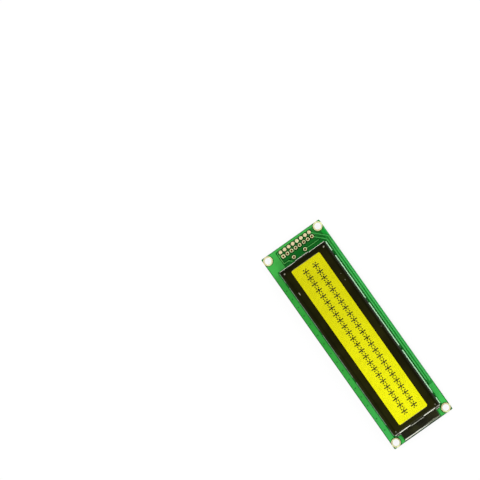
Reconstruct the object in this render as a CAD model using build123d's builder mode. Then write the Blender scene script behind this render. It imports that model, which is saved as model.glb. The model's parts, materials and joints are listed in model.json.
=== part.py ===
from build123d import *
from math import atan2, degrees
import os

# Character display module, two lines of twenty-four characters, side-lit from one end.
# Millimetres. X runs from the header end (-X) to the lamp end (+X), Y is up as the display is read,
# and Z leaves the display face. The origin is the centre of the four mounting holes, on the
# back face of the circuit board. The module lies on its back, on the three chip domes.

os.makedirs("parts", exist_ok=True)

# Circuit board
board_length = 118.0
board_width = 36.0
board_t = 1.6
board_corner_r = 0.5
copper_t = 0.05

# Copper on the front: a pour round the rim and four traces
copper_edge = 0.35
isolation = 0.35
rail_width = 0.65
rail_inset = 1.0
rail_pitch = 1.35
rail_end_inset = 18.5
trace_width = 0.45
trace_clearance = 0.03
feed_trace_length = 7.5
loop_drop = 1.85
loop_rise = 2.85
pour_end_inset = 16.8

# Mounting holes, each plated through with a ring on both faces
mount_inset = 2.5
mount_hole_d = 3.5
mount_ring_d = 4.9
ring_sides = 24

# Header: two columns of eight plated holes for the data and power pins
header_rows = 8
header_columns = 2
header_pitch = 2.54
header_y = 1.2
pad_d = 1.9
pad_hole_d = 1.0
pad_sides = 8

# Two plated holes that feed the lamps
feed_pitch = 7.0
feed_gap = 1.8
feed_pad_d = 1.95

# Bezel: one sheet of steel, folded to a tray with a window
header_room = 5.06
bezel_end_margin = 5.75
bezel_side_margin = 3.9
bezel_height = 9.0
bezel_t = 0.5
bezel_bend_r = 0.8
corner_slit = 0.6
lip_reach = 0.5
lip_height = 0.45
end_lip_extra = 0.35
end_lip_width = 7.8
end_lip_break = 0.25
window_end_rim = 2.7
window_side_rim = 5.35
window_r = 1.2
dimple_end_inset = 1.7
dimple_side_inset = 1.95
dimple_shift = 0.4
dimple_d = 1.0
dimple_depth = 0.15
dimple_sides = 8
dimple_taper = 45
groove_end_inset = 6.6
groove_width = 0.7
groove_depth = 0.08
groove_side_inset = 1.8

# Twist tabs on the long sides of the bezel, through slots in the board
tab_count = 4
tab_end_inset = 6.35
tab_shift = 0.95
tab_width = 2.4
tab_floor_gap = 0.3
tab_twist = 35
tab_relief = 0.3
tab_notch_height = 0.9
slot_clearance = 0.25

# Feet of the bezel beside the lamp housing
foot_width = 2.0
foot_reach = 0.75

# Display cell
glass_end_gap = 1.1
glass_side_gap = 0.7
contact_ledge = 2.3
glass_t = 1.1
cell_gap = 0.1
seal_width = 1.3
polarizer_t = 0.2
polarizer_margin = 0.9

# Characters: five by eight dots each
characters = 24
lines = 2
dot_columns = 5
dot_rows = 8
text_end_margin = 3.15
text_side_margin = 3.0
character_gap = 0.5
line_gap = 0.4
dot_gap = 0.05

# Conducting rubber strips between the board and the front glass
strip_t = 1.9
strip_end_gap = 2.5
strip_clearance = 0.1

# Lamp housing with its light guide
housing_overhang = 0.15
housing_wall = 1.0
housing_clearance = 0.25
housing_floor = 1.8
housing_rib = 1.2
pocket_count = 6
pocket_depth = 0.8
guide_t = 3.2
guide_clearance = 0.1
sheet_t = 0.2
tail_end_margin = 0.6
tail_wall = 0.6
tail_roof = 0.4
lamp_board_t = 0.6
lamp_count = 6
lamp_width = 1.8
lamp_height = 2.0
lamp_depth = 1.0
tape_t = 0.12
tape_skirt = 3.6
tape_margin = 0.85
arch_clearance = 0.1

# Pins of the lamp housing, soldered on the back of the board
pin_side = 0.5
pin_inset = 3.25
pin_floor_gap = 0.8
pin_grip = 0.6
pin_hole_d = 0.9
solder_d = 1.9
solder_height = 0.8
solder_tip_d = 0.9

# Chips under epoxy on the back of the board
dome_height = 1.8
dome_edge = 0.5
dome_crown = 0.55
dome_sides = 32
controller_d = 15.0
driver_d = 13.0
controller_inset = 22.95
driver_left_shift = 5.35
driver_right_inset = 16.25
dome_shift = 1.8

# Small parts on the back of the board
chip_length = 2.0
chip_width = 1.25
chip_t = 0.5
chip_cap = 0.35
chip_cap_skin = 0.03
capacitor_t = 0.8
land_reach = 0.4
bias_count = 5
bias_pitch = 2.4
bias_inset = 7.95
bias_y = -1.2
series_inset = 0.45
series_y = 4.5
series_pitch = 3.4
oscillator_shift = -2.0
oscillator_y = 7.5
driver_capacitor_y = 6.0

# Worked out from the above: board, header and bezel
board_top = board_t
copper_top = board_top + copper_t
mount_pitch_x = board_length - 2 * mount_inset
mount_pitch_y = board_width - 2 * mount_inset
header_outer_x = -mount_pitch_x / 2
header_inner_x = header_outer_x + header_pitch * (header_columns - 1)
header_low_y = header_y - header_pitch / 2 * (header_rows - 1)
header_high_y = header_y + header_pitch / 2 * (header_rows - 1)
pin_one = (header_inner_x, header_low_y)
header_places = [
    (header_outer_x + header_pitch * i, header_low_y + header_pitch * j)
    for i in range(header_columns)
    for j in range(header_rows)
]
round_pad_places = [place for place in header_places if place != pin_one]
flat_turn = 180 / pad_sides

bezel_header_x = header_inner_x + pad_d / 2 + header_room
bezel_end_x = board_length / 2 - bezel_end_margin
bezel_x = (bezel_header_x + bezel_end_x) / 2
bezel_length = bezel_end_x - bezel_header_x
bezel_width = board_width - 2 * bezel_side_margin
bezel_top = board_top + bezel_height
window_length = bezel_length - 2 * window_end_rim
window_width = bezel_width - 2 * window_side_rim
foot_x = bezel_header_x - lip_reach - end_lip_extra
foot_y = bezel_width / 2 + lip_reach
feed_x = foot_x - feed_gap
tab_x = bezel_x + tab_shift
tab_y = bezel_width / 2 - bezel_t / 2
tab_pitch = (bezel_length - 2 * tab_end_inset) / (tab_count - 1)
tab_places = [tab_x + tab_pitch * (i - (tab_count - 1) / 2) for i in range(tab_count)]
tab_reach = dome_height - tab_floor_gap
controller_x = bezel_header_x + controller_inset
driver_left_x = bezel_x + driver_left_shift
driver_right_x = bezel_end_x - driver_right_inset
oscillator_x = (controller_x + driver_left_x) / 2 + oscillator_shift

# Display cell, from the bezel's face down
glass_length = bezel_length - 2 * (bezel_t + glass_end_gap)
front_glass_width = bezel_width - 2 * (bezel_t + glass_side_gap)
rear_glass_width = front_glass_width - 2 * contact_ledge
front_polarizer_z = bezel_top - bezel_t - polarizer_t
front_glass_z = front_polarizer_z - glass_t
cell_z = front_glass_z - cell_gap
rear_glass_z = cell_z - glass_t
rear_polarizer_z = rear_glass_z - polarizer_t
polarizer_length = window_length + 2 * polarizer_margin
polarizer_width = window_width + 2 * polarizer_margin
text_length = window_length - 2 * text_end_margin
text_width = window_width - 2 * text_side_margin
character_pitch = (text_length + character_gap) / characters
line_pitch = (text_width + line_gap) / lines
dot_pitch_x = (character_pitch - character_gap + dot_gap) / dot_columns
dot_pitch_y = (line_pitch - line_gap + dot_gap) / dot_rows
dot_length = dot_pitch_x - dot_gap
dot_height = dot_pitch_y - dot_gap

# Lamp housing, its tail and what it holds
housing_width = rear_glass_width + 2 * housing_overhang
housing_header_x = bezel_header_x + bezel_t + housing_clearance
housing_end_x = bezel_end_x - bezel_t - housing_clearance
tail_end_x = board_length / 2 - tail_end_margin
reflector_z = board_top + housing_floor
guide_z = reflector_z + sheet_t
diffuser_z = guide_z + guide_t
tail_top = diffuser_z + tail_roof
arch_z = tail_top + tape_t + arch_clearance
arch_width = housing_width + 2 * (tape_t + arch_clearance)
lamp_board_x = tail_end_x - tail_wall - lamp_board_t
guide_header_x = housing_header_x + housing_wall + guide_clearance
guide_end_x = lamp_board_x - lamp_depth - guide_clearance
guide_width = housing_width - 2 * (housing_wall + guide_clearance)
lamp_pitch = guide_width / lamp_count
pin_x = lamp_board_x - pin_side / 2
pin_pitch = housing_width - 2 * pin_inset
pin_top = reflector_z + pin_grip
pin_reach = dome_height - pin_floor_gap
solder_taper = degrees(atan2((solder_d - solder_tip_d) / 2, solder_height))


# Board, with its holes and the slots for the bezel's tabs
with BuildPart() as pcb:
    with BuildSketch():
        RectangleRounded(board_length, board_width, board_corner_r)
        with GridLocations(mount_pitch_x, mount_pitch_y, 2, 2):
            Circle(mount_hole_d / 2 + copper_t, mode=Mode.SUBTRACT)
        with Locations(*round_pad_places):
            RegularPolygon(pad_d / 2, pad_sides, major_radius=False, rotation=flat_turn, mode=Mode.SUBTRACT)
        with Locations(pin_one):
            Rectangle(pad_d, pad_d, mode=Mode.SUBTRACT)
        with Locations((feed_x, 0)):
            with GridLocations(0, feed_pitch, 1, 2):
                RegularPolygon(
                    feed_pad_d / 2, pad_sides, major_radius=False, rotation=flat_turn, mode=Mode.SUBTRACT
                )
        with Locations((pin_x, 0)):
            with GridLocations(0, pin_pitch, 1, 2):
                RegularPolygon(pin_hole_d / 2, pad_sides, mode=Mode.SUBTRACT)
        with Locations((tab_x, 0)):
            with GridLocations(tab_pitch, 2 * tab_y, tab_count, 2):
                Rectangle(tab_width + 2 * slot_clearance, bezel_t + 2 * slot_clearance, mode=Mode.SUBTRACT)
    extrude(amount=board_t)
pcb.part.label = "pcb"
export_step(pcb.part, "parts/pcb.step")


# Mounting holes: a plated barrel through the board with a flange on each face
def copper_flange(z):
    with BuildSketch(Plane.XY.offset(z)) as flange:
        with GridLocations(mount_pitch_x, mount_pitch_y, 2, 2):
            RegularPolygon(mount_ring_d / 2, ring_sides)
            Circle(mount_hole_d / 2, mode=Mode.SUBTRACT)
    return flange.sketch


with BuildPart() as mounting_hole_rings:
    extrude(copper_flange(-copper_t), amount=copper_t)
    extrude(copper_flange(board_top), amount=copper_t)
    with BuildSketch():
        with GridLocations(mount_pitch_x, mount_pitch_y, 2, 2):
            Circle(mount_hole_d / 2 + copper_t)
            Circle(mount_hole_d / 2, mode=Mode.SUBTRACT)
    extrude(amount=board_t)
mounting_hole_rings.part.label = "mounting_hole_rings"
export_step(mounting_hole_rings.part, "parts/mounting_hole_rings.step")

# Header pads: each a plated sleeve that stands proud of both faces; pin one is square
with BuildPart() as header_pads:
    with BuildSketch(Plane.XY.offset(-copper_t)):
        with Locations(*round_pad_places):
            RegularPolygon(pad_d / 2, pad_sides, major_radius=False, rotation=flat_turn)
        with Locations(pin_one):
            Rectangle(pad_d, pad_d)
        with Locations(*header_places):
            Circle(pad_hole_d / 2, mode=Mode.SUBTRACT)
    extrude(amount=copper_top + copper_t)
header_pads.part.label = "header_pads"
export_step(header_pads.part, "parts/header_pads.step")

with BuildPart() as backlight_pads:
    with BuildSketch(Plane.XY.offset(-copper_t)):
        with Locations((feed_x, 0)):
            with GridLocations(0, feed_pitch, 1, 2):
                RegularPolygon(feed_pad_d / 2, pad_sides, major_radius=False, rotation=flat_turn)
                Circle(pad_hole_d / 2, mode=Mode.SUBTRACT)
    extrude(amount=copper_top + copper_t)
backlight_pads.part.label = "backlight_pads"
export_step(backlight_pads.part, "parts/backlight_pads.step")


# Front copper: a pour along the rim, two rails from the header to the far end, a short feed
# trace, and a loop below the header. Nothing of it lies under the bezel's foot or the housing.
rim_x = board_length / 2 - copper_edge
rim_y = board_width / 2 - copper_edge
rail_end_x = board_length / 2 - rail_end_inset
pour_start_x = board_length / 2 - pour_end_inset
end_pour_x = bezel_end_x + lip_reach + foot_reach + isolation
end_pour_y = housing_width / 2 + tape_t + isolation
strip_x = header_outer_x - pad_d / 2 - isolation
rail_y = board_width / 2 - rail_inset
loop_y = header_low_y - loop_drop
pad_edge = (pad_d / 2 + trace_clearance) / 2**0.5
rail_run = rail_y - header_high_y
feed_trace_low = feed_pitch / 2 + feed_pad_d / 2 + trace_clearance
inner_rail_run = rail_run - rail_pitch


def copper_area(x0, x1, y0, y1):
    with BuildSketch() as area:
        with Locations((x0, y0)):
            Rectangle(x1 - x0, y1 - y0, align=(Align.MIN, Align.MIN))
    return area.sketch


with BuildPart() as front_copper:
    with BuildSketch(Plane.XY.offset(board_top)):
        add(copper_area(-rim_x, strip_x, -rim_y, rim_y))
        add(copper_area(-rim_x, foot_x, -rim_y, loop_y - isolation - trace_width / 2))
        add(copper_area(-rim_x, rim_x, -rim_y, -foot_y - isolation))
        add(copper_area(pour_start_x, rim_x, foot_y + isolation, rim_y))
        add(copper_area(end_pour_x, rim_x, -rim_y, -end_pour_y))
        add(copper_area(end_pour_x, rim_x, end_pour_y, rim_y))
        with GridLocations(mount_pitch_x, mount_pitch_y, 2, 2):
            Circle(mount_ring_d / 2 + isolation, mode=Mode.SUBTRACT)
    extrude(amount=copper_t)
    with BuildSketch(Plane.XY.offset(board_top)):
        with BuildLine():
            Polyline(
                (header_outer_x + pad_edge, header_high_y + pad_edge),
                (header_outer_x + rail_run, rail_y),
                (rail_end_x, rail_y),
            )
        trace(line_width=rail_width)
    extrude(amount=copper_t)
    with BuildSketch(Plane.XY.offset(board_top)):
        with BuildLine():
            Polyline(
                (header_inner_x + pad_edge, header_high_y + pad_edge),
                (header_inner_x + inner_rail_run, rail_y - rail_pitch),
                (rail_end_x - rail_pitch, rail_y - rail_pitch),
            )
        trace(line_width=rail_width)
    extrude(amount=copper_t)
    with BuildSketch(Plane.XY.offset(board_top)):
        with BuildLine():
            Line((feed_x, feed_trace_low), (feed_x, feed_trace_low + feed_trace_length))
        trace(line_width=trace_width)
    extrude(amount=copper_t)
    with BuildSketch(Plane.XY.offset(board_top)):
        with BuildLine():
            Polyline(
                (header_outer_x + pad_edge, header_low_y - pad_edge),
                (header_outer_x + loop_drop, loop_y),
                (feed_x, loop_y),
                (feed_x, loop_y + loop_rise),
                (foot_x - trace_width, loop_y + loop_rise + foot_x - trace_width - feed_x),
            )
        trace(line_width=trace_width)
    extrude(amount=copper_t)
front_copper.part.label = "front_copper"
export_step(front_copper.part, "parts/front_copper.step")


# Bezel: a folded tray with a window, a flared foot, twist tabs and an arch for the lamp housing
def wall_outline(grow, z):
    with BuildSketch(Plane.XY.offset(z)) as outline:
        with Locations((bezel_x, 0)):
            Rectangle(bezel_length + 2 * grow, bezel_width + 2 * grow)
    return outline.sketch


with BuildPart() as bezel_cavity:
    extrude(wall_outline(-bezel_t, board_top), amount=bezel_height - bezel_t)
    fillet(bezel_cavity.faces().sort_by(Axis.Z)[-1].edges(), bezel_bend_r - bezel_t)


def foot_profile(wall_x, out, y, z, reach):
    """A flared edge, seen along Y, on an end wall whose outer face is at wall_x."""
    with BuildSketch(Plane.XZ.offset(-y)) as profile:
        with BuildLine():
            Polyline(
                (wall_x - out * bezel_t, z),
                (wall_x + out * reach, z),
                (wall_x, z + lip_height),
                (wall_x - out * bezel_t, z + lip_height),
                close=True,
            )
        make_face()
    return profile.sketch


with BuildPart() as bezel:
    extrude(wall_outline(0, board_top), amount=bezel_height)
    fillet(bezel.faces().sort_by(Axis.Z)[-1].edges(), bezel_bend_r)
    loft([wall_outline(lip_reach, board_top), wall_outline(0, board_top + lip_height)], ruled=True)
    add(bezel_cavity.part, mode=Mode.SUBTRACT)
    # the walls are folded one by one, so their corners stay open below the bend
    with BuildSketch(Plane.XY.offset(board_top)):
        with Locations((bezel_x, 0)):
            with GridLocations(bezel_length + lip_reach, bezel_width + lip_reach, 2, 2):
                Rectangle(lip_reach + corner_slit, lip_reach + corner_slit)
    extrude(amount=bezel_height - bezel_bend_r, mode=Mode.SUBTRACT)
    # window
    with BuildSketch(Plane.XY.offset(bezel_top - bezel_t)):
        with Locations((bezel_x, 0)):
            RectangleRounded(window_length, window_width, window_r)
    extrude(amount=bezel_t, mode=Mode.SUBTRACT)
    # grooves and dimples pressed into the face
    with BuildSketch(Plane.XY.offset(bezel_top)):
        with Locations((bezel_x, 0)):
            with GridLocations(0, bezel_width - 2 * groove_side_inset, 1, 2):
                Rectangle(bezel_length - 2 * groove_end_inset, groove_width)
    extrude(amount=-groove_depth, mode=Mode.SUBTRACT)
    with BuildSketch(Plane.XY.offset(bezel_top)):
        with Locations((bezel_x + dimple_shift, 0)):
            with GridLocations(
                bezel_length - 2 * dimple_end_inset, bezel_width - 2 * dimple_side_inset, 2, 2
            ):
                RegularPolygon(dimple_d / 2, dimple_sides)
    extrude(amount=-dimple_depth, taper=dimple_taper, mode=Mode.SUBTRACT)
    # the long walls are relieved beside each tab, and the foot stops there
    with BuildSketch(Plane.XY.offset(board_top)):
        with Locations((tab_x, 0)):
            with GridLocations(tab_pitch, 2 * (tab_y + lip_reach / 2), tab_count, 2):
                Rectangle(tab_width + 2 * tab_relief, bezel_t + lip_reach)
    extrude(amount=tab_notch_height, mode=Mode.SUBTRACT)
    # arch over the lamp housing
    with BuildSketch(Plane.YZ.offset(bezel_end_x - bezel_t)):
        with Locations((0, (board_top + arch_z) / 2)):
            Rectangle(arch_width, arch_z - board_top)
    extrude(amount=bezel_t + lip_reach, mode=Mode.SUBTRACT)
    # the middle of each end's foot stands further out, between two narrow breaks
    with BuildSketch(Plane.XY.offset(board_top)):
        with Locations((bezel_header_x - lip_reach / 2, 0)):
            Rectangle(lip_reach, end_lip_width + 2 * end_lip_break)
    extrude(amount=lip_height, mode=Mode.SUBTRACT)
    middle_reach = lip_reach + end_lip_extra
    middle_y = end_lip_width / 2
    side_y = arch_width / 2
    side_lip = side_y - middle_y - end_lip_break
    extrude(foot_profile(bezel_header_x, -1, middle_y, board_top, middle_reach), amount=end_lip_width)
    extrude(foot_profile(bezel_end_x, 1, middle_y, arch_z, middle_reach), amount=end_lip_width)
    extrude(foot_profile(bezel_end_x, 1, side_y, arch_z, lip_reach), amount=side_lip)
    extrude(foot_profile(bezel_end_x, 1, -side_y, arch_z, lip_reach), amount=-side_lip)
    # feet beside the lamp housing
    with BuildSketch(Plane.XY.offset(board_top)):
        with Locations((bezel_end_x + lip_reach / 2 + foot_reach / 2, 0)):
            with GridLocations(0, arch_width + foot_width, 1, 2):
                Rectangle(lip_reach + foot_reach, foot_width)
    extrude(amount=lip_height)
    # tabs: straight through the board, then twisted to grip it
    with BuildSketch(Plane.XY.offset(board_top + tab_notch_height)):
        with Locations((tab_x, 0)):
            with GridLocations(tab_pitch, 2 * tab_y, tab_count, 2):
                Rectangle(tab_width, bezel_t)
    extrude(amount=-(board_t + tab_notch_height))
    for x in tab_places:
        for side in (-1, 1):
            with BuildSketch(Plane((x, side * tab_y, 0)).rotated((0, 0, tab_twist))):
                Rectangle(tab_width, bezel_t)
            extrude(amount=-tab_reach)
bezel.part.label = "bezel"
export_step(bezel.part, "parts/bezel.step")


# Display cell, from the front down
with BuildPart() as front_polarizer:
    with BuildSketch(Plane.XY.offset(front_polarizer_z)):
        with Locations((bezel_x, 0)):
            Rectangle(polarizer_length, polarizer_width)
    extrude(amount=polarizer_t)
front_polarizer.part.label = "front_polarizer"
export_step(front_polarizer.part, "parts/front_polarizer.step")

with BuildPart() as front_glass:
    with BuildSketch(Plane.XY.offset(front_glass_z)):
        with Locations((bezel_x, 0)):
            Rectangle(glass_length, front_glass_width)
    extrude(amount=glass_t)
front_glass.part.label = "front_glass"
export_step(front_glass.part, "parts/front_glass.step")

with BuildPart() as perimeter_seal:
    with BuildSketch(Plane.XY.offset(cell_z)):
        with Locations((bezel_x, 0)):
            Rectangle(glass_length, rear_glass_width)
            Rectangle(glass_length - 2 * seal_width, rear_glass_width - 2 * seal_width, mode=Mode.SUBTRACT)
    extrude(amount=cell_gap)
perimeter_seal.part.label = "perimeter_seal"
export_step(perimeter_seal.part, "parts/perimeter_seal.step")

# Each character shows an asterisk: a full middle column, its two neighbours in the middle
# row, and the four corner dots. The middle column is one bar here.
glyph_row = dot_pitch_y / 2
glyph_steps = dot_columns - 1
bar_height = glyph_steps * dot_pitch_y + dot_height
with BuildPart() as lcd_dots:
    with BuildSketch(Plane.XY.offset(cell_z)):
        with Locations((bezel_x, glyph_row)):
            with GridLocations(character_pitch, line_pitch, characters, lines):
                Rectangle(dot_length, bar_height)
                with GridLocations(2 * dot_pitch_x, 0, 2, 1):
                    Rectangle(dot_length, dot_height)
                with GridLocations(glyph_steps * dot_pitch_x, 2 * dot_pitch_y, 2, 2):
                    Rectangle(dot_length, dot_height)
    extrude(amount=cell_gap)
lcd_dots.part.label = "lcd_dots"
export_step(lcd_dots.part, "parts/lcd_dots.step")

with BuildPart() as rear_glass:
    with BuildSketch(Plane.XY.offset(rear_glass_z)):
        with Locations((bezel_x, 0)):
            Rectangle(glass_length, rear_glass_width)
    extrude(amount=glass_t)
rear_glass.part.label = "rear_glass"
export_step(rear_glass.part, "parts/rear_glass.step")

with BuildPart() as rear_polarizer:
    with BuildSketch(Plane.XY.offset(rear_polarizer_z)):
        with Locations((bezel_x, 0)):
            Rectangle(polarizer_length, guide_width)
    extrude(amount=polarizer_t)
rear_polarizer.part.label = "rear_polarizer"
export_step(rear_polarizer.part, "parts/rear_polarizer.step")

# Rubber strips that carry the signals up to the ledges of the front glass
strip_y = housing_width / 2 + strip_clearance + strip_t / 2


def rubber_strip(name, y):
    with BuildPart() as strip:
        with BuildSketch(Plane.XY.offset(board_top)):
            with Locations((bezel_x, y)):
                Rectangle(glass_length - 2 * strip_end_gap, strip_t)
        extrude(amount=front_glass_z - board_top)
    strip.part.label = name
    export_step(strip.part, f"parts/{name}.step")
    return strip


zebra_strip_top = rubber_strip("zebra_strip_top", strip_y)
zebra_strip_bottom = rubber_strip("zebra_strip_bottom", -strip_y)


# Lamp housing: a white tray under the cell, with a lower closed tail that sticks out at the end
def plate(x0, x1, width, z):
    """A rectangle from x0 to x1 at height z, centred on the module's long axis."""
    with BuildSketch(Plane.XY.offset(z)) as outline:
        with Locations(((x0 + x1) / 2, 0)):
            Rectangle(x1 - x0, width)
    return outline.sketch


pocket_span = housing_end_x - housing_header_x - housing_rib
pocket_pitch = pocket_span / pocket_count
cavity_end_x = housing_end_x - housing_wall
cavity_width = housing_width - 2 * housing_wall
with BuildPart() as backlight_frame:
    extrude(plate(housing_header_x, housing_end_x, housing_width, board_top), amount=rear_glass_z - board_top)
    extrude(plate(housing_end_x, tail_end_x, housing_width, board_top), amount=tail_top - board_top)
    # open tray above the light guide, then the closed lamp chamber in the tail
    tray = plate(housing_header_x + housing_wall, cavity_end_x, cavity_width, reflector_z)
    chamber = plate(cavity_end_x, tail_end_x - tail_wall, cavity_width, reflector_z)
    extrude(tray, amount=rear_glass_z - reflector_z, mode=Mode.SUBTRACT)
    extrude(chamber, amount=diffuser_z - reflector_z, mode=Mode.SUBTRACT)
    # pockets in the underside, with ribs between them
    with BuildSketch(Plane.XY.offset(board_top)):
        with Locations(((housing_header_x + housing_end_x) / 2, 0)):
            with GridLocations(pocket_pitch, 0, pocket_count, 1):
                Rectangle(pocket_pitch - housing_rib, housing_width - 2 * housing_rib)
    extrude(amount=pocket_depth, mode=Mode.SUBTRACT)
    with BuildSketch(Plane.XY.offset(board_top)):
        with Locations((pin_x, 0)):
            with GridLocations(0, pin_pitch, 1, 2):
                Rectangle(pin_side, pin_side)
    extrude(amount=housing_floor, mode=Mode.SUBTRACT)
backlight_frame.part.label = "backlight_frame"
export_step(backlight_frame.part, "parts/backlight_frame.step")

with BuildPart() as reflector_sheet:
    extrude(plate(guide_header_x, guide_end_x, guide_width, reflector_z), amount=sheet_t)
reflector_sheet.part.label = "reflector_sheet"
export_step(reflector_sheet.part, "parts/reflector_sheet.step")

with BuildPart() as light_guide:
    extrude(plate(guide_header_x, guide_end_x, guide_width, guide_z), amount=guide_t)
light_guide.part.label = "light_guide"
export_step(light_guide.part, "parts/light_guide.step")

with BuildPart() as diffuser_sheet:
    extrude(plate(guide_header_x, cavity_end_x - guide_clearance, guide_width, diffuser_z), amount=sheet_t)
diffuser_sheet.part.label = "diffuser_sheet"
export_step(diffuser_sheet.part, "parts/diffuser_sheet.step")

with BuildPart() as led_board:
    lamp_board_plan = plate(lamp_board_x, lamp_board_x + lamp_board_t, guide_width, reflector_z)
    extrude(lamp_board_plan, amount=diffuser_z - reflector_z)
led_board.part.label = "led_board"
export_step(led_board.part, "parts/led_board.step")

lamp_z = diffuser_z - guide_clearance - lamp_height / 2
with BuildPart() as leds:
    with BuildSketch(Plane.YZ.offset(lamp_board_x)):
        with Locations((0, lamp_z)):
            with GridLocations(lamp_pitch, 0, lamp_count, 1):
                Rectangle(lamp_width, lamp_height)
    extrude(amount=-lamp_depth)
leds.part.label = "leds"
export_step(leds.part, "parts/leds.step")

# Black tape over the tail, folded down both sides
tape_end_x = tail_end_x - tape_margin
tape_start_x = housing_end_x
with BuildPart() as tail_tape:
    skirt_z = tail_top - tape_skirt
    extrude(plate(tape_start_x, tape_end_x, housing_width + 2 * tape_t, skirt_z), amount=tape_skirt + tape_t)
    extrude(plate(tape_start_x, tape_end_x, housing_width, skirt_z), amount=tape_skirt, mode=Mode.SUBTRACT)
tail_tape.part.label = "tail_tape"
export_step(tail_tape.part, "parts/tail_tape.step")

with BuildPart() as backlight_pins:
    with BuildSketch(Plane.XY.offset(-pin_reach)):
        with Locations((pin_x, 0)):
            with GridLocations(0, pin_pitch, 1, 2):
                Rectangle(pin_side, pin_side)
    extrude(amount=pin_top + pin_reach)
backlight_pins.part.label = "backlight_pins"
export_step(backlight_pins.part, "parts/backlight_pins.step")

# A cone of solder round each pin on the back
with BuildPart() as backlight_solder:
    with BuildSketch():
        with Locations((pin_x, 0)):
            with GridLocations(0, pin_pitch, 1, 2):
                Circle(solder_d / 2)
    extrude(amount=-solder_height, taper=solder_taper)
    with BuildSketch():
        with Locations((pin_x, 0)):
            with GridLocations(0, pin_pitch, 1, 2):
                Rectangle(pin_side, pin_side)
    extrude(amount=-solder_height, mode=Mode.SUBTRACT)
backlight_solder.part.label = "backlight_solder"
export_step(backlight_solder.part, "parts/backlight_solder.step")


# Epoxy domes over the three chips on the back: steep edge, sloped shoulder, flat crown
def epoxy_dome(name, place, diameter):
    slope_run = diameter / 2 * (1 - dome_crown)
    with BuildPart() as dome:
        with BuildSketch():
            with Locations(place):
                RegularPolygon(diameter / 2, dome_sides)
        extrude(amount=-dome_height)
        crown = dome.faces().sort_by(Axis.Z)[0]
        chamfer(crown.edges(), slope_run, dome_height - dome_edge, reference=crown)
    dome.part.label = name
    export_step(dome.part, f"parts/{name}.step")
    return dome


controller_cob = epoxy_dome("controller_cob", (controller_x, dome_shift), controller_d)
segment_driver_cob_left = epoxy_dome("segment_driver_cob_left", (driver_left_x, -dome_shift), driver_d)
segment_driver_cob_right = epoxy_dome("segment_driver_cob_right", (driver_right_x, dome_shift), driver_d)

# Chip resistors and capacitors on the back, each a ceramic body with two tinned caps on lands
bias_low = bias_pitch / 2 * (bias_count - 1)
bias_x = bezel_header_x + bias_inset
bias_places = [(bias_x, bias_y - bias_low + bias_pitch * i) for i in range(bias_count)]
series_x = bezel_header_x + series_inset
series_places = [(series_x, series_y + series_pitch / 2 * side) for side in (-1, 1)]
resistor_places = bias_places + [(oscillator_x, oscillator_y)] + series_places
capacitor_x = (driver_left_x + driver_right_x) / 2
capacitor_places = [(capacitor_x, driver_capacitor_y * side) for side in (-1, 1)]
capacitor_places.append((oscillator_x, -oscillator_y))
cap_offset = (chip_length - chip_cap) / 2


def chip_bodies(name, places, thickness):
    with BuildPart() as bodies:
        with BuildSketch(Plane.XY.offset(-copper_t)):
            with Locations(*places):
                Rectangle(chip_length - 2 * chip_cap, chip_width)
        extrude(amount=-thickness)
    bodies.part.label = name
    export_step(bodies.part, f"parts/{name}.step")
    return bodies


def chip_caps(name, places, thickness):
    with BuildPart() as caps:
        with BuildSketch(Plane.XY.offset(-copper_t)):
            with Locations(*places):
                with GridLocations(2 * cap_offset, 0, 2, 1):
                    Rectangle(chip_cap, chip_width)
        extrude(amount=-(thickness + chip_cap_skin))
    caps.part.label = name
    export_step(caps.part, f"parts/{name}.step")
    return caps


resistor_bodies = chip_bodies("resistor_bodies", resistor_places, chip_t)
resistor_terminals = chip_caps("resistor_terminals", resistor_places, chip_t)
capacitor_bodies = chip_bodies("capacitor_bodies", capacitor_places, capacitor_t)
capacitor_terminals = chip_caps("capacitor_terminals", capacitor_places, capacitor_t)

# Copper on the back: a land under each cap of the small parts
with BuildPart() as back_copper:
    with BuildSketch():
        with Locations(*(resistor_places + capacitor_places)):
            with GridLocations(2 * cap_offset + land_reach, 0, 2, 1):
                Rectangle(chip_cap + land_reach, chip_width)
    extrude(amount=-copper_t)
back_copper.part.label = "back_copper"
export_step(back_copper.part, "parts/back_copper.step")
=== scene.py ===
import json
import math

import bmesh
import bpy
from mathutils import Matrix, Vector, noise


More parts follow.
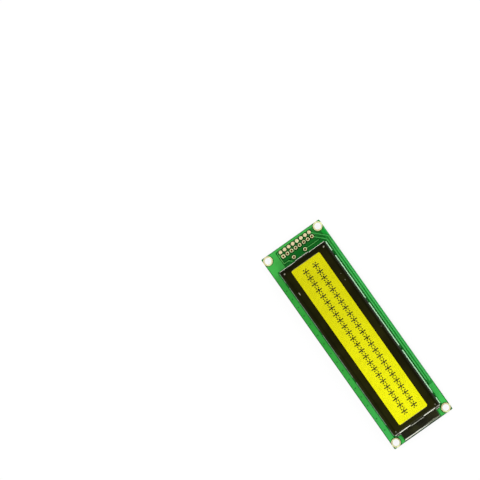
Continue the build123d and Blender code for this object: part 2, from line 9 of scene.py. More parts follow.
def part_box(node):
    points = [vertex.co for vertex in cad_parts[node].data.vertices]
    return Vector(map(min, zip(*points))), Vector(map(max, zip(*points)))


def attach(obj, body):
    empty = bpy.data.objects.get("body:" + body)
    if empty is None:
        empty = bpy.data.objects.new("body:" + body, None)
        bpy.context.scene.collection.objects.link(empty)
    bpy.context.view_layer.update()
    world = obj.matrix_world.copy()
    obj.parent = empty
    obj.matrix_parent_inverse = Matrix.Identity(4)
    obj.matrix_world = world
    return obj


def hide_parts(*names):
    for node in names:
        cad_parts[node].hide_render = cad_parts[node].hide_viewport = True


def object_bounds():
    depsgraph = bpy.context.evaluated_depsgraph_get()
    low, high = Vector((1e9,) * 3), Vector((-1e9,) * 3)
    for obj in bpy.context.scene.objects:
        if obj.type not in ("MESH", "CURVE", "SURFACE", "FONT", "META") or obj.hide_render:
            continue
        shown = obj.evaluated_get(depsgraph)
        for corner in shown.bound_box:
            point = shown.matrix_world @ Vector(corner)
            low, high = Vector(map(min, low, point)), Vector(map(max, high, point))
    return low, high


# A character display module on its back, seen from above. Lengths named here are in
# millimetres, in the row frame; MM turns them into Blender's metres.
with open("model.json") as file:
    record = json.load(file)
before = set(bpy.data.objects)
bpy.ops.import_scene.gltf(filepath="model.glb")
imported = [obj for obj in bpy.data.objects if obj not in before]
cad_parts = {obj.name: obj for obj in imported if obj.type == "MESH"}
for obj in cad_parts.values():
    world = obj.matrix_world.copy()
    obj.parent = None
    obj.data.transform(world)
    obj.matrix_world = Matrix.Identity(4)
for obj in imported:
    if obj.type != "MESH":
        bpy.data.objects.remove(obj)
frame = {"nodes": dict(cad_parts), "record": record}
cad_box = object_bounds()
nodes = frame["nodes"]
MM = 0.001


def corners(node):
    """The lowest and highest corner of a CAD node, in millimetres."""
    low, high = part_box(node)
    return Vector(low) / MM, Vector(high) / MM


board_low, board_high = corners("pcb")
bezel_high = corners("bezel")[1]
glow_low, glow_high = corners("rear_polarizer")
dots_low, dots_high = corners("lcd_dots")
tape_low, tape_high = corners("tail_tape")
pads_low, pads_high = corners("header_pads")
feed_low, feed_high = corners("backlight_pads")
ring_high = corners("mounting_hole_rings")[1]
solder_low, solder_high = corners("backlight_solder")
tail_reach = corners("backlight_frame")[1].x
board_top = board_high.z
floor_z = cad_box[0][2] / MM

# Plated holes
pad_pitch = 2.54
pad_rows = 8
pad_columns = 2
pad_radius = 0.95
pad_hole = 0.5
feed_radius = (feed_high.x - feed_low.x) / 2
ring_radius = 2.45
ring_hole = 1.75
pin_one_square = 1.2
isolation_width = 0.3
header_x = [pads_low.x + pad_radius + pad_pitch * column for column in range(pad_columns)]
header_y = [pads_low.y + pad_radius + pad_pitch * row for row in range(pad_rows)]
header_spots = [(x, y) for x in header_x for y in header_y]
pin_one = (header_x[-1], header_y[0])
feed_x = (feed_low.x + feed_high.x) / 2
feed_spots = [(feed_x, feed_low.y + feed_radius), (feed_x, feed_high.y - feed_radius)]
outer_holes = header_spots[:pad_rows]
inner_holes = header_spots[pad_rows:] + feed_spots
mount_x = ring_high.x - ring_radius
mount_y = ring_high.y - ring_radius
mount_spots = [(x, y) for x in (-mount_x, mount_x) for y in (-mount_y, mount_y)]
pin_x = (solder_low.x + solder_high.x) / 2
solder_radius = (solder_high.x - solder_low.x) / 2
pin_y = solder_high.y - solder_radius

# Characters: the asterisk, row by row from the top, five dots wide and eight high
glyph = [".....", "..#..", "#.#.#", ".###.", "#.#.#", "..#..", ".....", "....."]
character_count = 24
line_count = 2
dot_length = 0.62
dot_height = 0.67
dot_pitch_x = 0.66
dot_pitch_y = 0.70

# The outer face of the bezel's end wall at the lamps
bezel_wall = bezel_high.x - 1.25

# Pale marks on the bezel's face, as place and size: painted glints in four dimples, and three scuffs through
# the paint
dimples = {(-45.85, 12.15): 0.45, (-45.85, -12.15): 0.42, (51.95, 12.15): 0.34, (51.95, -12.15): 0.36}
bezel_scuff_and_glint_spots = [(spot, (size, size)) for spot, size in dimples.items()]
bezel_scuff_and_glint_spots += [((-25.9, 11.4), (0.24, 0.14)), ((-33.3, -11.7), (0.8, 0.22)), ((-29.6, 11.4), (0.14, 0.1))]

# Chips under epoxy on the back: centre and diameter
domes = {
    "controller_cob": (-25.0, 1.8, 15.0),
    "segment_driver_cob_left": (8.0, -1.8, 13.0),
    "segment_driver_cob_right": (37.0, 1.8, 13.0),
}


# Shader helpers


class Finish:
    """One material, with its Principled shader and shorthand for adding nodes to it."""

    def __init__(self, name, **sockets):
        self.material = bpy.data.materials.new(name)
        self.material.use_nodes = True
        self.tree = self.material.node_tree
        self.shader = self.tree.nodes["Principled BSDF"]
        self.output = self.tree.nodes["Material Output"]
        for socket, value in sockets.items():
            self.shader.inputs[socket.replace("_", " ")].default_value = value

    def add(self, kind, inputs=None, **settings):
        return add_node(self.tree, kind, inputs, **settings)

    def link(self, source, target):
        if isinstance(target, str):
            target = self.shader.inputs[target]
        self.tree.links.new(source, target)


def add_node(tree, kind, inputs=None, **settings):
    """A shader node with its settings; inputs are values, or sockets to link from."""
    made = tree.nodes.new("ShaderNode" + kind)
    for name, value in settings.items():
        setattr(made, name, value)
    for name, value in (inputs or {}).items():
        if isinstance(value, bpy.types.NodeSocket):
            tree.links.new(value, made.inputs[name])
        else:
            made.inputs[name].default_value = value
    return made


def from_srgb(red, green, blue):
    """The linear colour of an sRGB colour given as numbers up to 255."""
    linear = []
    for level in (red, green, blue):
        share = level / 255
        if share <= 0.04045:
            linear.append(share / 12.92)
        else:
            linear.append(((share + 0.055) / 1.055) ** 2.4)
    return (*linear, 1.0)


def group(name, inputs, outputs):
    """An empty shader node group with its named sockets, and its input and output nodes."""
    tree = bpy.data.node_groups.new(name, "ShaderNodeTree")
    for socket, kind, value in inputs:
        made = tree.interface.new_socket(socket, in_out="INPUT", socket_type="NodeSocket" + kind)
        made.default_value = value
    for socket, kind in outputs:
        tree.interface.new_socket(socket, in_out="OUTPUT", socket_type="NodeSocket" + kind)
    return tree, tree.nodes.new("NodeGroupInput"), tree.nodes.new("NodeGroupOutput")


def mix_colour(tree, mask, first, second, blend="MIX"):
    """A colour mix node's result; mask, first and second are sockets or values."""
    made = add_node(tree, "Mix", data_type="RGBA", blend_type=blend)
    for socket, value in ((0, mask), (6, first), (7, second)):
        if isinstance(value, bpy.types.NodeSocket):
            tree.links.new(value, made.inputs[socket])
        else:
            made.inputs[socket].default_value = value
    return made.outputs[2]


def number(tree, operation, *values, clamp=False):
    """A math node's result; the values are sockets or numbers."""
    made = add_node(tree, "Math", operation=operation, use_clamp=clamp)
    for socket, value in enumerate(values):
        if isinstance(value, bpy.types.NodeSocket):
            tree.links.new(value, made.inputs[socket])
        else:
            made.inputs[socket].default_value = value
    return made.outputs[0]


def ramp(tree, value, low, high, start=0.0, end=1.0):
    """A smooth step of value from low to high, as start to end."""
    made = add_node(
        tree,
        "MapRange",
        {"From Min": low, "From Max": high, "To Min": start, "To Max": end},
        interpolation_type="SMOOTHSTEP",
    )
    tree.links.new(value, made.inputs["Value"])
    return made.outputs["Result"]


def both(tree, *masks):
    """Where every mask holds: their product."""
    held = masks[0]
    for mask in masks[1:]:
        held = number(tree, "MULTIPLY", held, mask)
    return held


def either(tree, *masks):
    """Where any mask holds: the largest of them."""
    held = masks[0]
    for mask in masks[1:]:
        held = number(tree, "MAXIMUM", held, mask)
    return held


def layered(tree, colour, *layers):
    """A colour with others laid over it in turn, each given as its mask and colour."""
    for mask, over in layers:
        colour = mix_colour(tree, mask, colour, over)
    return colour


def grey(tree, level):
    """A level as a grey colour."""
    return add_node(tree, "CombineXYZ", {"X": level, "Y": level, "Z": level}).outputs[0]


def place(tree):
    """The x, y and z of the shaded point, in millimetres in the row frame."""
    coordinates = add_node(tree, "TexCoord").outputs["Object"]
    scaled = add_node(tree, "VectorMath", {"Vector": coordinates, "Scale": 1 / MM}, operation="SCALE")
    return add_node(tree, "SeparateXYZ", {"Vector": scaled.outputs[0]}).outputs


def flatness(tree):
    """1 where the surface lies flat and 0 where it is upright: the size of its normal's z."""
    normal = add_node(tree, "NewGeometry").outputs["Normal"]
    upward = add_node(tree, "SeparateXYZ", {"Vector": normal}).outputs["Z"]
    return number(tree, "ABSOLUTE", upward)


def band(tree, value, low, high, soft):
    """A mask that is 1 between low and high, with soft edges of that width."""
    rise = ramp(tree, value, low - soft / 2, low + soft / 2)
    fall = ramp(tree, value, high - soft / 2, high + soft / 2, 1.0, 0.0)
    return both(tree, rise, fall)


def spots(tree, marks, soft=0.35):
    """A mask of oval spots, each given as its centre and its two radii, in millimetres."""
    coordinates = add_node(tree, "TexCoord").outputs["Object"]
    masks = []
    for (x, y), (wide, high) in marks:
        scaled = add_node(
            tree,
            "Mapping",
            {
                "Vector": coordinates,
                "Location": (-x / wide, -y / high, 0.0),
                "Scale": (1 / (wide * MM), 1 / (high * MM), 0.0),
            },
        )
        reach = add_node(tree, "VectorMath", {0: scaled.outputs[0]}, operation="LENGTH").outputs["Value"]
        masks.append(ramp(tree, reach, 1.0 - soft, 1.0 + soft, 1.0, 0.0))
    return either(tree, *masks)


def round_spots(tree, centres, radius, soft):
    """A mask of round spots of one radius."""
    return spots(tree, [(centre, (radius, radius)) for centre in centres], soft)


def wave_at(tree, scale, direction, distortion=0.0):
    """Soft stripes that follow each other along one axis."""
    coordinates = add_node(tree, "TexCoord").outputs["Object"]
    settings = {"Vector": coordinates, "Scale": scale, "Distortion": distortion}
    return add_node(tree, "TexWave", settings, bands_direction=direction).outputs["Fac"]


def noise_at(tree, scale, detail=2.0):
    """Soft noise; scale is a number per metre, or a socket."""
    coordinates = add_node(tree, "TexCoord").outputs["Object"]
    settings = {"Vector": coordinates, "Scale": scale, "Detail": detail}
    return add_node(tree, "TexNoise", settings).outputs[0]


def make_grain():
    """Slow mottling and fine grain: a varied colour, a varied roughness and a height."""
    tree, given, result = group(
        "mottled_grain",
        [
            ("Color", "Color", (0.5, 0.5, 0.5, 1.0)),
            ("Shade", "Float", 0.15),
            ("Mottle Scale", "Float", 150.0),
            ("Grain Scale", "Float", 2500.0),
            ("Roughness", "Float", 0.5),
            ("Roughness Spread", "Float", 0.1),
        ],
        [("Color", "Color"), ("Roughness", "Float"), ("Height", "Float")],
    )
    mottle = number(tree, "MULTIPLY", noise_at(tree, given.outputs["Mottle Scale"], 3.0), 0.65)
    grain = number(tree, "MULTIPLY", noise_at(tree, given.outputs["Grain Scale"], 2.0), 0.35)
    height = number(tree, "ADD", mottle, grain)
    centred = number(tree, "MULTIPLY", number(tree, "SUBTRACT", height, 0.5), 2.0)
    gain = number(tree, "MULTIPLY_ADD", centred, given.outputs["Shade"], 1.0)
    colour = mix_colour(tree, 1.0, given.outputs["Color"], grey(tree, gain), "MULTIPLY")
    spread, middle = given.outputs["Roughness Spread"], given.outputs["Roughness"]
    rough = number(tree, "MULTIPLY_ADD", centred, spread, middle, clamp=True)
    tree.links.new(colour, result.inputs["Color"])
    tree.links.new(rough, result.inputs["Roughness"])
    tree.links.new(height, result.inputs["Height"])
    return tree


def make_dust():
    """Sparse pale specks laid over a colour."""
    tree, given, result = group(
        "dust_specks",
        [
            ("Color", "Color", (0.5, 0.5, 0.5, 1.0)),
            ("Dust Color", "Color", (0.3, 0.3, 0.28, 1.0)),
            ("Scale", "Float", 400.0),
            ("Amount", "Float", 0.1),
        ],
        [("Color", "Color"), ("Mask", "Float")],
    )
    coordinates = add_node(tree, "TexCoord").outputs["Object"]
    cells = add_node(
        tree, "TexVoronoi", {"Vector": coordinates, "Scale": given.outputs["Scale"], "Randomness": 1.0}
    )
    near = ramp(tree, cells.outputs["Distance"], 0.05, 0.16, 1.0, 0.0)
    chosen = add_node(tree, "SeparateColor", {"Color": cells.outputs["Color"]}).outputs[0]
    picked = number(tree, "LESS_THAN", chosen, given.outputs["Amount"])
    mask = both(tree, near, picked)
    speckled = mix_colour(tree, mask, given.outputs["Color"], given.outputs["Dust Color"])
    tree.links.new(speckled, result.inputs["Color"])
    tree.links.new(mask, result.inputs["Mask"])
    return tree


grain_group = make_grain()
dust_group = make_dust()


def grained(finish, colour, *, shade, mottle, grain, rough, spread=0.1, bump=0.0, depth=0.02):
    """Gives a finish the mottled grain; returns the varied colour for more layers on top.
    mottle and grain are scales, shade and spread how much colour and roughness vary, and
    depth is the bump's height in millimetres."""
    made = finish.add(
        "Group",
        {
            "Shade": shade,
            "Mottle Scale": mottle,
            "Grain Scale": grain,
            "Roughness": rough,
            "Roughness Spread": spread,
        },
        node_tree=grain_group,
    )
    if isinstance(colour, bpy.types.NodeSocket):
        finish.link(colour, made.inputs["Color"])
    else:
        made.inputs["Color"].default_value = colour
    finish.link(made.outputs["Roughness"], "Roughness")
    if bump:
        settings = {"Strength": bump, "Distance": depth * MM, "Height": made.outputs["Height"]}
        finish.link(finish.add("Bump", settings).outputs["Normal"], "Normal")
    finish.link(made.outputs["Color"], "Base Color")
    return made.outputs["Color"]


def dusted(finish, colour, dust_colour, scale, amount):
    """Lays dust specks over a colour; returns the result."""
    settings = {"Color": colour, "Dust Color": dust_colour, "Scale": scale, "Amount": amount}
    made = finish.add("Group", settings, node_tree=dust_group)
    finish.link(made.outputs["Color"], "Base Color")
    return made.outputs["Color"]


# Finishes


def board_finish():
    """Dark green mask over glass-epoxy, paler where copper runs close by, with painted shade on the strip
    past the lamp housing's tail; tan cut edges.
    """
    finish = Finish("green_solder_mask", Specular_IOR_Level=0.3)
    tree = finish.tree
    x, y, z = place(tree)
    plain_mask = from_srgb(10, 96, 26)
    beside_header = ramp(tree, x, -57.5, -50.0, 1.0, 0.0)
    rail_zone = both(tree, ramp(tree, y, 15.4, 15.7), ramp(tree, x, 42.5, 42.8, 1.0, 0.0))
    outer_rim = both(tree, rail_zone, ramp(tree, y, 17.25, 17.45))
    rail_ends = both(tree, rail_zone, ramp(tree, x, 37.5, 40.5))
    by_the_tail = ramp(tree, number(tree, "ABSOLUTE", y), 10.5, 11.2, 1.0, 0.0)
    # painted shadow: the strip of board past the tail of the lamp housing is darkened
    shade_past_tail = both(tree, ramp(tree, x, 58.2, 58.4), by_the_tail)
    front_mask = layered(
        tree,
        plain_mask,
        (beside_header, from_srgb(30, 112, 38)),
        (rail_zone, from_srgb(18, 140, 40)),
        (outer_rim, from_srgb(46, 158, 74)),
        (rail_ends, from_srgb(40, 150, 60)),
        (shade_past_tail, from_srgb(8, 34, 12)),
    )
    on_front = ramp(tree, z, 0.8, 0.9)
    halo = round_spots(tree, header_spots + feed_spots, 1.5, 0.06)
    mask = layered(tree, plain_mask, (on_front, front_mask), (halo, from_srgb(1, 52, 8)))
    weave = either(tree, wave_at(tree, 500.0, "X", 0.6), wave_at(tree, 500.0, "Y", 0.6))
    woven = mix_colour(tree, number(tree, "MULTIPLY", weave, 0.14), mask, from_srgb(30, 128, 50))
    cut_edge = ramp(tree, flatness(tree), 0.3, 0.7, 1.0, 0.0)
    fibres = both(tree, wave_at(tree, 1500.0, "Z", 2.0), noise_at(tree, 2200.0, 3.0))
    laminate = mix_colour(tree, fibres, from_srgb(150, 150, 86), from_srgb(104, 118, 60))
    colour = mix_colour(tree, cut_edge, woven, laminate)
    grained(
        finish, colour, shade=0.18, mottle=120.0, grain=3000.0, rough=0.24, spread=0.08, bump=0.12, depth=0.01
    )
    return finish.material


def masked_copper_finish():
    """Copper under the mask: a lighter green, brightest in the rails along the far edge."""
    finish = Finish("mask_over_copper", Specular_IOR_Level=0.3)
    tree = finish.tree
    x, y = place(tree)[:2]
    cloud = ramp(tree, noise_at(tree, 70.0, 3.0), 0.35, 0.7)
    far_side = ramp(tree, y, -12.0, 16.0)
    rails = both(
        tree,
        ramp(tree, y, 15.0, 15.4),
        ramp(tree, x, 41.0, 42.5, 1.0, 0.0),
        ramp(tree, x, -51.0, -45.0, 0.2, 1.0),
    )
    slanted = both(tree, ramp(tree, y, 10.0, 11.0), ramp(tree, x, -49.0, -45.0, 0.8, 0.0))
    near_lamps = both(tree, ramp(tree, x, 20.0, 50.0), ramp(tree, y, -14.0, -11.0, 0.8, 0.0))
    lamp_end = both(tree, ramp(tree, x, 53.0, 54.5), ramp(tree, y, 0.0, 8.0))
    header_end = ramp(tree, x, -54.0, -32.0, 0.8, 0.0)
    by_inner_pads = both(
        tree,
        band(tree, x, -55.0, -48.4, 0.4),
        ramp(tree, y, 10.0, 11.0, 1.0, 0.0),
        ramp(tree, y, -10.4, -10.1),
    )
    colour = layered(
        tree,
        from_srgb(54, 170, 63),
        (cloud, from_srgb(65, 181, 75)),
        (far_side, from_srgb(62, 182, 80)),
        (rails, from_srgb(76, 188, 94)),
        (slanted, from_srgb(52, 146, 68)),
        (near_lamps, from_srgb(70, 192, 92)),
        (lamp_end, from_srgb(57, 164, 68)),
        (header_end, from_srgb(58, 150, 64)),
        (by_inner_pads, from_srgb(78, 166, 76)),
    )
    grained(
        finish, colour, shade=0.12, mottle=220.0, grain=3600.0, rough=0.22, spread=0.07, bump=0.1, depth=0.01
    )
    return finish.material


def isolation_finish():
    """Bare board under the mask, where the copper is cut away round a hole or trace."""
    finish = Finish("bare_board_under_mask", Specular_IOR_Level=0.2)
    colour = from_srgb(1, 50, 8)
    grained(
        finish, colour, shade=0.2, mottle=220.0, grain=3000.0, rough=0.26, spread=0.08, bump=0.1, depth=0.01
    )
    return finish.material


def plating_finish():
    """Pale gold plating with a thin bloom, painted dark red-brown down the inner holes as shade."""
    finish = Finish("pale_plating", Metallic=0.35, Specular_IOR_Level=0.5)
    tree = finish.tree
    cloud = ramp(tree, noise_at(tree, 900.0, 3.0), 0.4, 0.65)
    barrel = ramp(tree, flatness(tree), 0.2, 0.6, 1.0, 0.0)
    # painted shade: the barrels of the inner holes, where little light reaches, darkened to red-brown
    shaded_holes = round_spots(tree, inner_holes, 0.6, 0.05)
    colour = layered(
        tree,
        from_srgb(214, 224, 166),
        (cloud, from_srgb(216, 202, 150)),
        (both(tree, barrel, shaded_holes), from_srgb(84, 26, 6)),
    )
    grained(
        finish, colour, shade=0.12, mottle=700.0, grain=5000.0, rough=0.4, spread=0.12, bump=0.25, depth=0.02
    )
    return finish.material


def bare_edges(tree, x, y, z):
    """A mask of the bezel's bare steel, along its foot and along the arch over the lamp
    housing, dimmed on the middle lips and the near side as painted shade, and a mask of its
    two ends, where the steel is whiter."""
    foot = band(tree, z, board_top - 0.1, board_top + 0.44, 0.03)
    arch = both(tree, ramp(tree, x, bezel_wall, bezel_wall + 0.04), ramp(tree, z, 6.9, 7.0))
    edge = either(tree, foot, arch)
    aside = number(tree, "ABSOLUTE", y)
    at_lamps = ramp(tree, x, bezel_wall - 0.2, bezel_wall)
    at_header = ramp(tree, x, -48.0, -47.9, 1.0, 0.0)
    at_ends = either(tree, at_lamps, at_header)
    # paint is left behind the middle lips and on the feet; the middle lips and the near side are dimmed as
    # painted shade, where they lie in shadow
    middle = both(tree, ramp(tree, aside, 3.9, 4.05, 1.0, 0.0), at_ends)
    behind = both(tree, middle, band(tree, x, -48.5, 53.8, 0.1))
    shaded_middle_lips = both(tree, middle, number(tree, "MULTIPLY_ADD", at_lamps, 0.32, 0.18))
    feet = both(tree, at_lamps, ramp(tree, aside, 10.8, 11.0))
    shaded_near_side = ramp(tree, y, -14.3, -14.1, 1.0, 0.0)
    painted = number(tree, "MULTIPLY_ADD", feet, 0.4, either(tree, shaded_middle_lips, behind))
    painted = number(tree, "MULTIPLY_ADD", shaded_near_side, 0.55, painted, clamp=True)
    patchy = ramp(tree, noise_at(tree, 700.0, 3.0), 0.3, 0.55, 0.78, 1.0)
    bare = both(tree, edge, number(tree, "MULTIPLY_ADD", painted, -1.0, patchy, clamp=True))
    # two bare lines across each foot
    lines = either(tree, band(tree, x, 53.3, 53.7, 0.1), band(tree, x, 54.2, 54.6, 0.1))
    on_feet = both(tree, ramp(tree, aside, 10.7, 10.8), ramp(tree, z, 2.1, 2.2, 0.7, 0.0))
    return either(tree, bare, both(tree, lines, on_feet)), at_ends


def bezel_finish():
    """Satin olive-black paint with a few scuffs, painted glints in the pressed dimples and
    painted shade along each groove and the top edge; the cut edges are bare, greenish along
    the sides as a painted reflection of the board.
    """
    finish = Finish("olive_black_paint", Specular_IOR_Level=0.08)
    tree = finish.tree
    x, y, z = place(tree)
    cloud = ramp(tree, noise_at(tree, 60.0, 4.0), 0.35, 0.7)
    header_side = ramp(tree, x, -47.0, -44.0, 0.7, 0.0)
    # painted shade: darker along the lower groove and from the upper groove out over the top edge's bend
    groove_shade = either(tree, band(tree, y, -12.6, -12.1, 0.4), ramp(tree, y, 12.0, 12.5, 0.0, 0.9))
    paint = layered(
        tree,
        from_srgb(18, 18, 1),
        (cloud, from_srgb(29, 29, 4)),
        (header_side, from_srgb(8, 8, 0)),
        (number(tree, "MULTIPLY", groove_shade, 0.7), from_srgb(10, 12, 0)),
    )
    varied = grained(
        finish, paint, shade=0.22, mottle=300.0, grain=4200.0, rough=0.34, spread=0.08, bump=0.1, depth=0.01
    )
    dusty = dusted(finish, varied, from_srgb(62, 60, 46), 260.0, 0.035)
    # pale marks: painted glints in the dimples, and scuffs through the paint
    scuffs_and_glints = both(
        tree,
        spots(tree, bezel_scuff_and_glint_spots),
        ramp(tree, noise_at(tree, 1100.0, 2.0), 0.3, 0.6, 0.55, 0.95),
        ramp(tree, z, bezel_high.z - 0.4, bezel_high.z - 0.3),
        ramp(tree, x, 40.0, 50.0, 1.0, 0.5),
    )
    bare, at_ends = bare_edges(tree, x, y, z)
    # the bare steel along the sides is tinted green as a painted reflection of the green board; at the ends
    # it is whiter
    steel = mix_colour(tree, at_ends, from_srgb(176, 222, 182), from_srgb(222, 224, 208))
    finish.link(layered(tree, dusty, (scuffs_and_glints, from_srgb(136, 134, 118)), (bare, steel)), "Base Color")
    return finish.material


def glow_finish():
    """The lit film behind the glass, brighter toward the lamps."""
    finish = Finish("lit_yellow_film", Emission_Strength=1.22)
    tree = finish.tree
    toward_lamps = ramp(tree, place(tree)[0], glow_low.x, glow_high.x * 1.1)
    glow = mix_colour(tree, toward_lamps, from_srgb(222, 217, 0), from_srgb(252, 250, 6))
    cloud = ramp(tree, noise_at(tree, 45.0, 3.0), 0.3, 0.7, 0.95, 1.01)
    finish.link(mix_colour(tree, 1.0, glow, grey(tree, cloud), "MULTIPLY"), "Emission Color")
    grained(finish, from_srgb(110, 110, 2), shade=0.1, mottle=200.0, grain=3000.0, rough=0.6)
    return finish.material


def dot_finish():
    """Dark olive, where the crystal is switched."""
    finish = Finish("switched_dots", Specular_IOR_Level=0.2)
    grained(finish, from_srgb(30, 34, 0), shade=0.25, mottle=900.0, grain=6000.0, rough=0.6)
    return finish.material


def clear_finish(name, tint, cover):
    """Thin clear glass or film: cover is how much of it shows, more where it is smeared."""
    finish = Finish(name)
    tree = finish.tree
    smear = noise_at(tree, 160.0, 3.0)
    faded = mix_colour(tree, 0.7, tint, (0.0, 0.0, 0.0, 1.0))
    finish.link(mix_colour(tree, smear, tint, faded), "Base Color")
    finish.link(ramp(tree, smear, 0.35, 0.75, 0.05, 0.12), "Roughness")
    finish.link(ramp(tree, smear, 0.35, 0.75, cover, cover * 1.3), "Alpha")
    return finish.material


def plain_finish(name, colour, shade, mottle, grain, rough, bump, **sockets):
    """A moulded, printed or coated surface in one colour, with its grain."""
    finish = Finish(name, **sockets)
    grained(finish, colour, shade=shade, mottle=mottle, grain=grain, rough=rough, bump=bump, depth=0.03)
    return finish.material


def tape_finish():
    """Black tape, with a painted grey highlight where its end lifts, and darker as a painted shadow just
    before its end.
    """
    finish = Finish("black_tape_back", Specular_IOR_Level=0.25)
    tree = finish.tree
    x, y = place(tree)[:2]
    cloud = ramp(tree, noise_at(tree, 140.0, 3.0), 0.35, 0.7)
    ragged_x = number(tree, "MULTIPLY_ADD", noise_at(tree, 300.0, 2.0), 1.2, x)
    # painted highlight: grey along the lifted, curled end of the tape
    lifted_highlight = both(
        tree,
        ramp(tree, ragged_x, 58.0, 58.3),
        ramp(tree, y, -1.0, 4.0),
        ramp(tree, noise_at(tree, 520.0, 2.0), 0.3, 0.6, 0.45, 1.0),
    )
    # painted shadow: darker just before the tape's end on the near side
    tape_edge_shadow = both(tree, band(tree, x, 57.3, 58.4, 0.3), ramp(tree, y, 0.0, 5.0, 0.7, 0.0))
    colour = layered(
        tree,
        from_srgb(18, 18, 3),
        (cloud, from_srgb(34, 35, 12)),
        (lifted_highlight, from_srgb(104, 108, 92)),
        (tape_edge_shadow, from_srgb(12, 12, 3)),
    )
    varied = grained(finish, colour, shade=0.2, mottle=260.0, grain=3000.0, rough=0.34, bump=0.2)
    dusted(finish, varied, from_srgb(86, 86, 70), 420.0, 0.05)
    return finish.material


def rubber_finish():
    """Layered rubber: thin dark conducting layers between pale ones."""
    finish = Finish("layered_rubber")
    tree = finish.tree
    layers = ramp(tree, wave_at(tree, 1600.0, "X"), 0.4, 0.6)
    stripes = mix_colour(tree, layers, from_srgb(200, 150, 150), from_srgb(40, 34, 34))
    grained(finish, stripes, shade=0.1, mottle=300.0, grain=3000.0, rough=0.7, bump=0.2)
    return finish.material


def metal_finish(name, colour, rough):
    """Bare bright metal."""
    finish = Finish(name, Metallic=1.0)
    grained(
        finish,
        colour,
        shade=0.16,
        mottle=700.0,
        grain=4000.0,
        rough=rough,
        spread=0.14,
        bump=0.25,
        depth=0.03,
    )
    return finish.material


def epoxy_finish():
    """Poured black epoxy with a soft sheen and dust."""
    finish = Finish("potting_epoxy", Specular_IOR_Level=0.45)
    black = from_srgb(24, 24, 25)
    colour = grained(finish, black, shade=0.25, mottle=180.0, grain=2200.0, rough=0.32, bump=0.35, depth=0.06)
    dusted(finish, colour, from_srgb(90, 90, 88), 500.0, 0.05)
    return finish.material


# One for each material slot. The numbers of a plain finish are its shade, the scales of
# its mottling and grain, its roughness and its bump
finishes = {
    "board": board_finish(),
    "masked_copper": masked_copper_finish(),
    "tinned_copper": plating_finish(),
    "black_steel": bezel_finish(),
    "polarizer_film": clear_finish("polarizer_film", (0.05, 0.055, 0.01, 1.0), 0.1),
    "cell_glass": clear_finish("cell_glass", (0.05, 0.12, 0.06, 1.0), 0.03),
    "switched_crystal": dot_finish(),
    "seal_resin": plain_finish("seal_resin", from_srgb(150, 146, 124), 0.1, 300.0, 3000.0, 0.6, 0.1),
    "rear_film": glow_finish(),
    "contact_rubber": rubber_finish(),
    "white_plastic": plain_finish(
        "white_moulding", from_srgb(192, 192, 178), 0.06, 160.0, 2600.0, 0.45, 0.15, Subsurface_Weight=0.05
    ),
    "clear_acrylic": clear_finish("acrylic_guide", (0.8, 0.85, 0.7, 1.0), 0.25),
    "diffuser_film": plain_finish("milky_film", from_srgb(226, 226, 190), 0.05, 200.0, 3000.0, 0.5, 0.05),
    "white_film": plain_finish("white_reflector", from_srgb(232, 232, 232), 0.04, 200.0, 3000.0, 0.35, 0.05),
    "lamp_resin": plain_finish("lamp_resin", from_srgb(220, 226, 120), 0.08, 300.0, 3000.0, 0.3, 0.1),
    "black_tape": tape_finish(),
    "tinned_pin": metal_finish("tinned_wire", from_srgb(214, 212, 206), 0.3),
    "solder": metal_finish("bright_solder", from_srgb(206, 207, 208), 0.26),
    "black_epoxy": epoxy_finish(),
    "resistor_ceramic": plain_finish("resistor_glaze", from_srgb(34, 34, 38), 0.15, 400.0, 4000.0, 0.3, 0.2),
    "capacitor_ceramic": plain_finish("tan_ceramic", from_srgb(172, 146, 112), 0.12, 400.0, 4000.0, 0.5, 0.2),
}
isolation_material = isolation_finish()

for row in frame["record"]["subparts"]:
    shape = nodes[row["node"]].data
    shape.materials.clear()
    shape.materials.append(finishes[row["material_slot"]])


# Mesh helpers


def piece(name, mesh, material, replaced=(), smooth=False):
    """Puts a bmesh, built in millimetres, in the scene as one piece of the object."""
    data = bpy.data.meshes.new(name)
    bmesh.ops.scale(mesh, vec=(MM, MM, MM), verts=mesh.verts)
    bmesh.ops.recalc_face_normals(mesh, faces=mesh.faces)
    mesh.to_mesh(data)
    mesh.free()
    for face in data.polygons:
        face.use_smooth = smooth
    made = bpy.data.objects.new(name, data)
    bpy.context.collection.objects.link(made)
    data.materials.append(material)
    if smooth:
        data.set_sharp_from_angle(angle=math.radians(40))
    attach(made, "root")
    if replaced:
        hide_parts(*replaced)
    return made


def lathe(mesh, centre, profile, sides=48, square=0.0, wobble=0.0, seed=0):
    """Sweeps a closed profile of (radius, z) round centre. square squares off the outside, and
    wobble makes the round uneven by that share."""
    outer = max(radius for radius, z in profile)
    inner = min(radius for radius, z in profile)
    loops = []
    for step in range(sides):
        angle = 2 * math.pi * (step + 0.5) / sides
        reach = 1.0
        if square:
            reach = min(1 / max(abs(math.cos(angle)), abs(math.sin(angle))), square)
        if wobble:
            spot = Vector((math.cos(angle), math.sin(angle), seed * 7.3))
            reach = 1.0 - wobble * (0.5 + 0.5 * noise.noise(spot * 1.7))
        loop = []
        for radius, z in profile:
            share = (radius - inner) / (outer - inner)
            far = radius * (1 + (reach - 1) * share)
            x = centre[0] + far * math.cos(angle)
            y = centre[1] + far * math.sin(angle)
            loop.append(mesh.verts.new((x, y, z)))
        loops.append(loop)
    for step in range(sides):
        here, after = loops[step], loops[(step + 1) % sides]
        for place_on in range(len(profile)):
            next_on = (place_on + 1) % len(profile)
            mesh.faces.new((here[place_on], after[place_on], after[next_on], here[next_on]))


